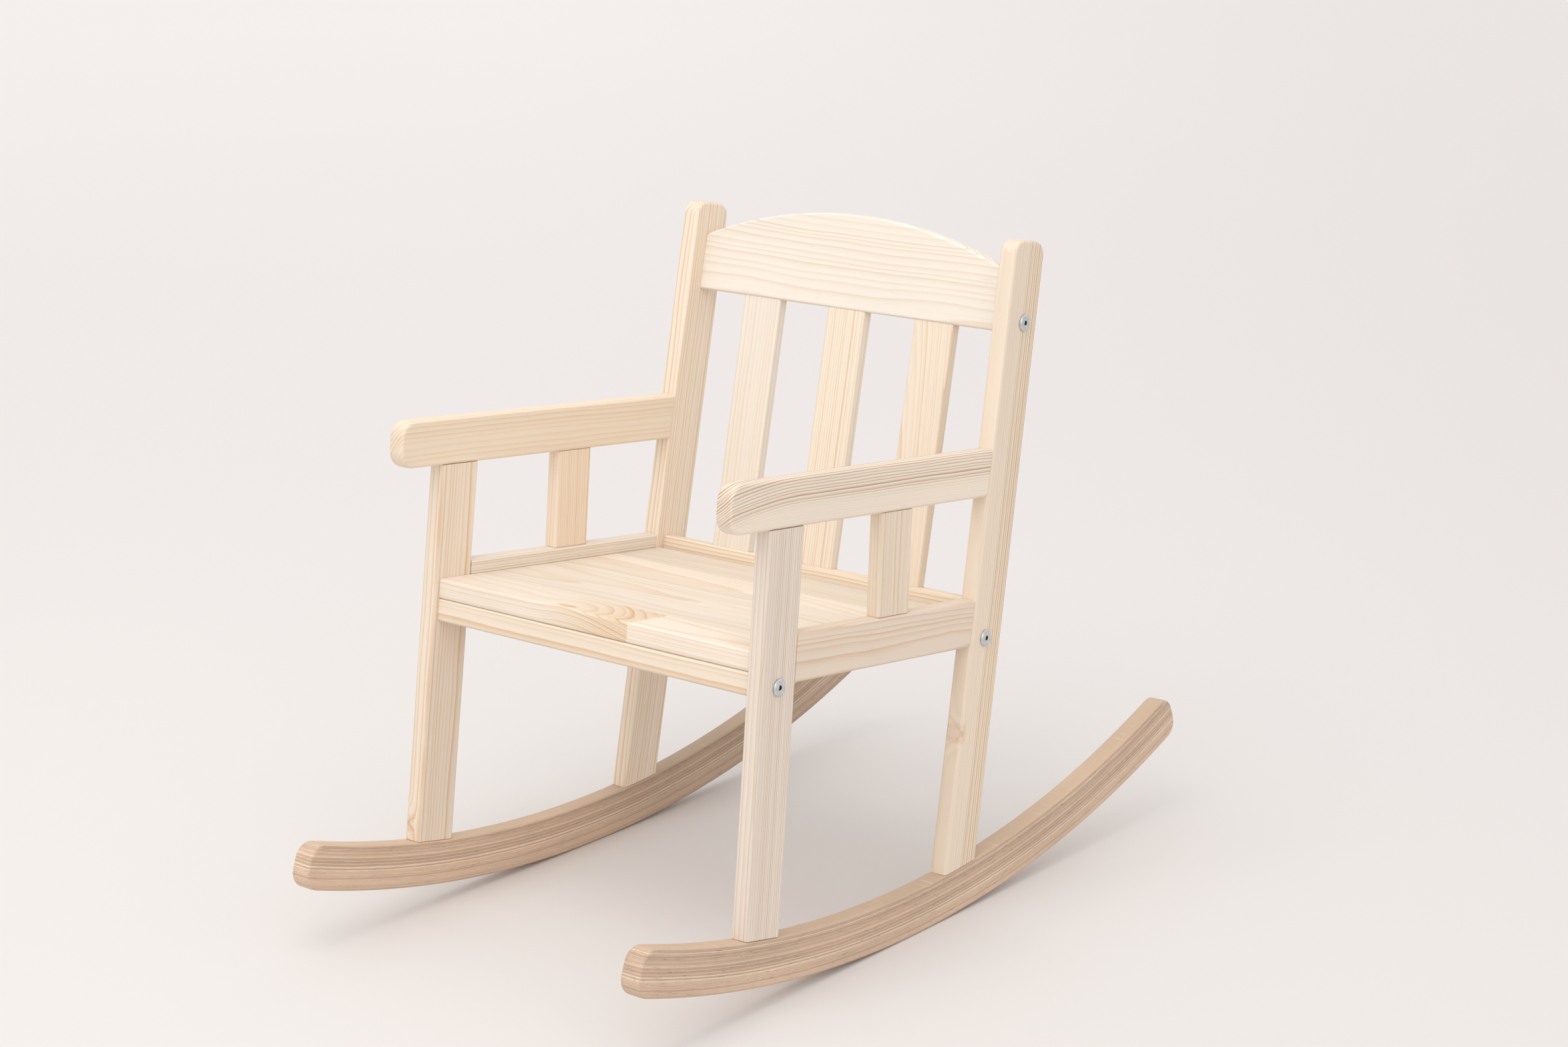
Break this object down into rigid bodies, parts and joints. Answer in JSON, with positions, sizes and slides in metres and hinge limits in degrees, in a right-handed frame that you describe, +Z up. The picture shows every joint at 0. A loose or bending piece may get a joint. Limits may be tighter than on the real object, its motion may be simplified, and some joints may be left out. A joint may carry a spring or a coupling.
{
  "type": "child's rocking chair",
  "caption": "Child-size rocking chair in unfinished pine with armrests, a slatted back under an arched crest rail, a solid seat and bent laminated-wood rockers.",
  "frame": {"origin": "on the floor, under the middle of the chair's bounding box", "axes": "+Z up, the sitter faces -Y, +X is the sitter's left; the chair leans back to its own balance point"},
  "size_m": [0.4046, 0.7948, 0.6035],
  "materials": {
    "pine": "planed and sanded pine, no varnish",
    "bent_ply": "sanded laminated wood, ply lines showing",
    "beech": "plain turned dowel",
    "zinc": "bright zinc-plated steel"
  },
  "bodies": {
    "root": {"left_rocker": "bent_ply", "left_front_leg": "pine", "left_back_post": "pine", "left_side_rail": "pine", "left_armrest": "pine", "left_arm_baluster": "pine", "right_rocker": "bent_ply", "right_front_leg": "pine", "right_back_post": "pine", "right_side_rail": "pine", "right_armrest": "pine", "right_arm_baluster": "pine", "seat_panel": "pine", "front_rail": "pine", "back_rail": "pine", "crest_rail": "pine", "back_slat_right": "pine", "back_slat_middle": "pine", "back_slat_left": "pine", "left_crest_barrel_nut": "zinc", "left_crest_bolt": "zinc", "left_back_rail_barrel_nut": "zinc", "left_back_rail_bolt": "zinc", "left_front_rail_barrel_nut": "zinc", "left_front_rail_bolt": "zinc", "right_crest_barrel_nut": "zinc", "right_crest_bolt": "zinc", "right_back_rail_barrel_nut": "zinc", "right_back_rail_bolt": "zinc", "right_front_rail_barrel_nut": "zinc", "right_front_rail_bolt": "zinc", "left_leg_foot_dowel_front": "beech", "left_leg_foot_dowel_rear": "beech", "left_post_foot_dowel_front": "beech", "left_post_foot_dowel_rear": "beech", "left_side_rail_dowel_front": "beech", "left_side_rail_dowel_rear": "beech", "left_seat_dowel": "beech", "left_armrest_dowel_front": "beech", "left_armrest_dowel_rear": "beech", "left_baluster_dowel_top": "beech", "left_baluster_dowel_bottom": "beech", "left_crest_dowel": "beech", "left_back_rail_dowel": "beech", "left_front_rail_dowel": "beech", "right_leg_foot_dowel_front": "beech", "right_leg_foot_dowel_rear": "beech", "right_post_foot_dowel_front": "beech", "right_post_foot_dowel_rear": "beech", "right_side_rail_dowel_front": "beech", "right_side_rail_dowel_rear": "beech", "right_seat_dowel": "beech", "right_armrest_dowel_front": "beech", "right_armrest_dowel_rear": "beech", "right_baluster_dowel_top": "beech", "right_baluster_dowel_bottom": "beech", "right_crest_dowel": "beech", "right_back_rail_dowel": "beech", "right_front_rail_dowel": "beech"}
  },
  "joints": []
}
